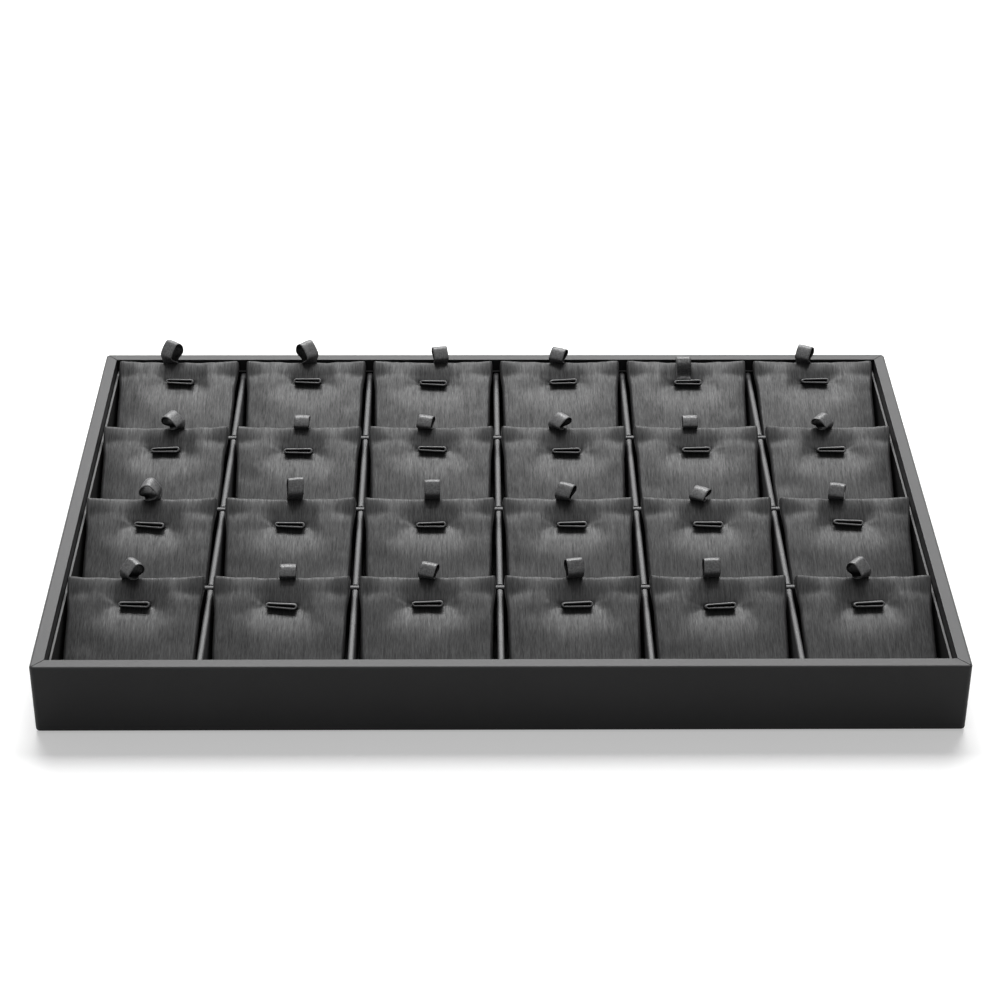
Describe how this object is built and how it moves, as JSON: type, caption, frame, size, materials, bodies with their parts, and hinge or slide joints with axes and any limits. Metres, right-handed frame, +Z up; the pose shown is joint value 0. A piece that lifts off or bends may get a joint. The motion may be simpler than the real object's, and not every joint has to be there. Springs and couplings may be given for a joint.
{
  "type": "jewelry display tray",
  "caption": "Leatherette covered tray with a lift-out divider insert and sloping padded cards, each with a hanging loop and a pull ribbon.",
  "frame": {"origin": "middle of the tray's underside", "axes": "+X to the right along the long side, +Y to the back, +Z up out of the tray"},
  "size_m": [0.35, 0.24, 0.0381],
  "materials": {
    "smooth_leatherette": "matte black smooth leatherette",
    "brushed_leatherette": "satin dark grey leatherette with a fine brushed grain",
    "satin_ribbon": "black satin",
    "board": "raw fibreboard, hidden under the cover",
    "covered_card": "black covered card",
    "backing_sheet": "black flocked paper"
  },
  "bodies": {
    "tray": {"base_board": "board", "front_wall": "board", "back_wall": "board", "left_wall": "board", "right_wall": "board", "outer_cover": "smooth_leatherette", "underside_sheet": "backing_sheet", "floor_lining": "backing_sheet"},
    "insert": {"insert_floor": "covered_card", "insert_walls": "covered_card", "long_dividers": "smooth_leatherette", "cross_dividers": "smooth_leatherette"},
    "pad_r1c1": {"pad_r1c1": "brushed_leatherette", "loops_r1c1": "satin_ribbon"},
    "pad_r1c2": {"pad_r1c2": "brushed_leatherette", "loops_r1c2": "satin_ribbon"},
    "pad_r1c3": {"pad_r1c3": "brushed_leatherette", "loops_r1c3": "satin_ribbon"},
    "pad_r1c4": {"pad_r1c4": "brushed_leatherette", "loops_r1c4": "satin_ribbon"},
    "pad_r1c5": {"pad_r1c5": "brushed_leatherette", "loops_r1c5": "satin_ribbon"},
    "pad_r1c6": {"pad_r1c6": "brushed_leatherette", "loops_r1c6": "satin_ribbon"},
    "pad_r2c1": {"pad_r2c1": "brushed_leatherette", "loops_r2c1": "satin_ribbon"},
    "pad_r2c2": {"pad_r2c2": "brushed_leatherette", "loops_r2c2": "satin_ribbon"},
    "pad_r2c3": {"pad_r2c3": "brushed_leatherette", "loops_r2c3": "satin_ribbon"},
    "pad_r2c4": {"pad_r2c4": "brushed_leatherette", "loops_r2c4": "satin_ribbon"},
    "pad_r2c5": {"pad_r2c5": "brushed_leatherette", "loops_r2c5": "satin_ribbon"},
    "pad_r2c6": {"pad_r2c6": "brushed_leatherette", "loops_r2c6": "satin_ribbon"},
    "pad_r3c1": {"pad_r3c1": "brushed_leatherette", "loops_r3c1": "satin_ribbon"},
    "pad_r3c2": {"pad_r3c2": "brushed_leatherette", "loops_r3c2": "satin_ribbon"},
    "pad_r3c3": {"pad_r3c3": "brushed_leatherette", "loops_r3c3": "satin_ribbon"},
    "pad_r3c4": {"pad_r3c4": "brushed_leatherette", "loops_r3c4": "satin_ribbon"},
    "pad_r3c5": {"pad_r3c5": "brushed_leatherette", "loops_r3c5": "satin_ribbon"},
    "pad_r3c6": {"pad_r3c6": "brushed_leatherette", "loops_r3c6": "satin_ribbon"},
    "pad_r4c1": {"pad_r4c1": "brushed_leatherette", "loops_r4c1": "satin_ribbon"},
    "pad_r4c2": {"pad_r4c2": "brushed_leatherette", "loops_r4c2": "satin_ribbon"},
    "pad_r4c3": {"pad_r4c3": "brushed_leatherette", "loops_r4c3": "satin_ribbon"},
    "pad_r4c4": {"pad_r4c4": "brushed_leatherette", "loops_r4c4": "satin_ribbon"},
    "pad_r4c5": {"pad_r4c5": "brushed_leatherette", "loops_r4c5": "satin_ribbon"},
    "pad_r4c6": {"pad_r4c6": "brushed_leatherette", "loops_r4c6": "satin_ribbon"}
  },
  "joints": [
    {"name": "insert_lift", "type": "slide", "parent": "tray", "child": "insert", "axis": [0, 0, 1], "range_m": [0, 0.04]},
    {"name": "pad_r1c1_lift", "type": "slide", "parent": "insert", "child": "pad_r1c1", "axis": [0, 0, 1], "range_m": [0, 0.04]},
    {"name": "pad_r1c2_lift", "type": "slide", "parent": "insert", "child": "pad_r1c2", "axis": [0, 0, 1], "range_m": [0, 0.04]},
    {"name": "pad_r1c3_lift", "type": "slide", "parent": "insert", "child": "pad_r1c3", "axis": [0, 0, 1], "range_m": [0, 0.04]},
    {"name": "pad_r1c4_lift", "type": "slide", "parent": "insert", "child": "pad_r1c4", "axis": [0, 0, 1], "range_m": [0, 0.04]},
    {"name": "pad_r1c5_lift", "type": "slide", "parent": "insert", "child": "pad_r1c5", "axis": [0, 0, 1], "range_m": [0, 0.04]},
    {"name": "pad_r1c6_lift", "type": "slide", "parent": "insert", "child": "pad_r1c6", "axis": [0, 0, 1], "range_m": [0, 0.04]},
    {"name": "pad_r2c1_lift", "type": "slide", "parent": "insert", "child": "pad_r2c1", "axis": [0, 0, 1], "range_m": [0, 0.04]},
    {"name": "pad_r2c2_lift", "type": "slide", "parent": "insert", "child": "pad_r2c2", "axis": [0, 0, 1], "range_m": [0, 0.04]},
    {"name": "pad_r2c3_lift", "type": "slide", "parent": "insert", "child": "pad_r2c3", "axis": [0, 0, 1], "range_m": [0, 0.04]},
    {"name": "pad_r2c4_lift", "type": "slide", "parent": "insert", "child": "pad_r2c4", "axis": [0, 0, 1], "range_m": [0, 0.04]},
    {"name": "pad_r2c5_lift", "type": "slide", "parent": "insert", "child": "pad_r2c5", "axis": [0, 0, 1], "range_m": [0, 0.04]},
    {"name": "pad_r2c6_lift", "type": "slide", "parent": "insert", "child": "pad_r2c6", "axis": [0, 0, 1], "range_m": [0, 0.04]},
    {"name": "pad_r3c1_lift", "type": "slide", "parent": "insert", "child": "pad_r3c1", "axis": [0, 0, 1], "range_m": [0, 0.04]},
    {"name": "pad_r3c2_lift", "type": "slide", "parent": "insert", "child": "pad_r3c2", "axis": [0, 0, 1], "range_m": [0, 0.04]},
    {"name": "pad_r3c3_lift", "type": "slide", "parent": "insert", "child": "pad_r3c3", "axis": [0, 0, 1], "range_m": [0, 0.04]},
    {"name": "pad_r3c4_lift", "type": "slide", "parent": "insert", "child": "pad_r3c4", "axis": [0, 0, 1], "range_m": [0, 0.04]},
    {"name": "pad_r3c5_lift", "type": "slide", "parent": "insert", "child": "pad_r3c5", "axis": [0, 0, 1], "range_m": [0, 0.04]},
    {"name": "pad_r3c6_lift", "type": "slide", "parent": "insert", "child": "pad_r3c6", "axis": [0, 0, 1], "range_m": [0, 0.04]},
    {"name": "pad_r4c1_lift", "type": "slide", "parent": "insert", "child": "pad_r4c1", "axis": [0, 0, 1], "range_m": [0, 0.04]},
    {"name": "pad_r4c2_lift", "type": "slide", "parent": "insert", "child": "pad_r4c2", "axis": [0, 0, 1], "range_m": [0, 0.04]},
    {"name": "pad_r4c3_lift", "type": "slide", "parent": "insert", "child": "pad_r4c3", "axis": [0, 0, 1], "range_m": [0, 0.04]},
    {"name": "pad_r4c4_lift", "type": "slide", "parent": "insert", "child": "pad_r4c4", "axis": [0, 0, 1], "range_m": [0, 0.04]},
    {"name": "pad_r4c5_lift", "type": "slide", "parent": "insert", "child": "pad_r4c5", "axis": [0, 0, 1], "range_m": [0, 0.04]},
    {"name": "pad_r4c6_lift", "type": "slide", "parent": "insert", "child": "pad_r4c6", "axis": [0, 0, 1], "range_m": [0, 0.04]}
  ]
}
